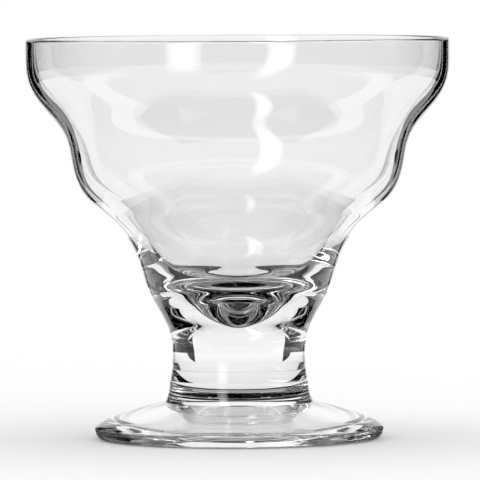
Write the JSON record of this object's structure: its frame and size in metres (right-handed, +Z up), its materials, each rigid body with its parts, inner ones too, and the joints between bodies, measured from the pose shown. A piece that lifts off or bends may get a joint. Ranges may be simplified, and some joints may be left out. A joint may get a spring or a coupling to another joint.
{
  "type": "dessert glass",
  "caption": "Footed dessert glass in clear glass: wide open bowl with a waved, stepped-in wall, short solid waisted stem and domed round foot, for serving sundaes, fruit or sherbet.",
  "frame": {"origin": "centre of the flat ring under the foot, on the plane that the glass rests on", "axes": "+Z up along the axis of revolution, towards the rim; X and Y are free, because the glass is round"},
  "size_m": [0.1142, 0.1142, 0.108],
  "materials": {
    "clear_glass": "clear colourless pressed glass, fire-polished and smooth"
  },
  "bodies": {
    "root": {"bowl": "clear_glass", "stem": "clear_glass", "foot": "clear_glass"}
  },
  "joints": []
}
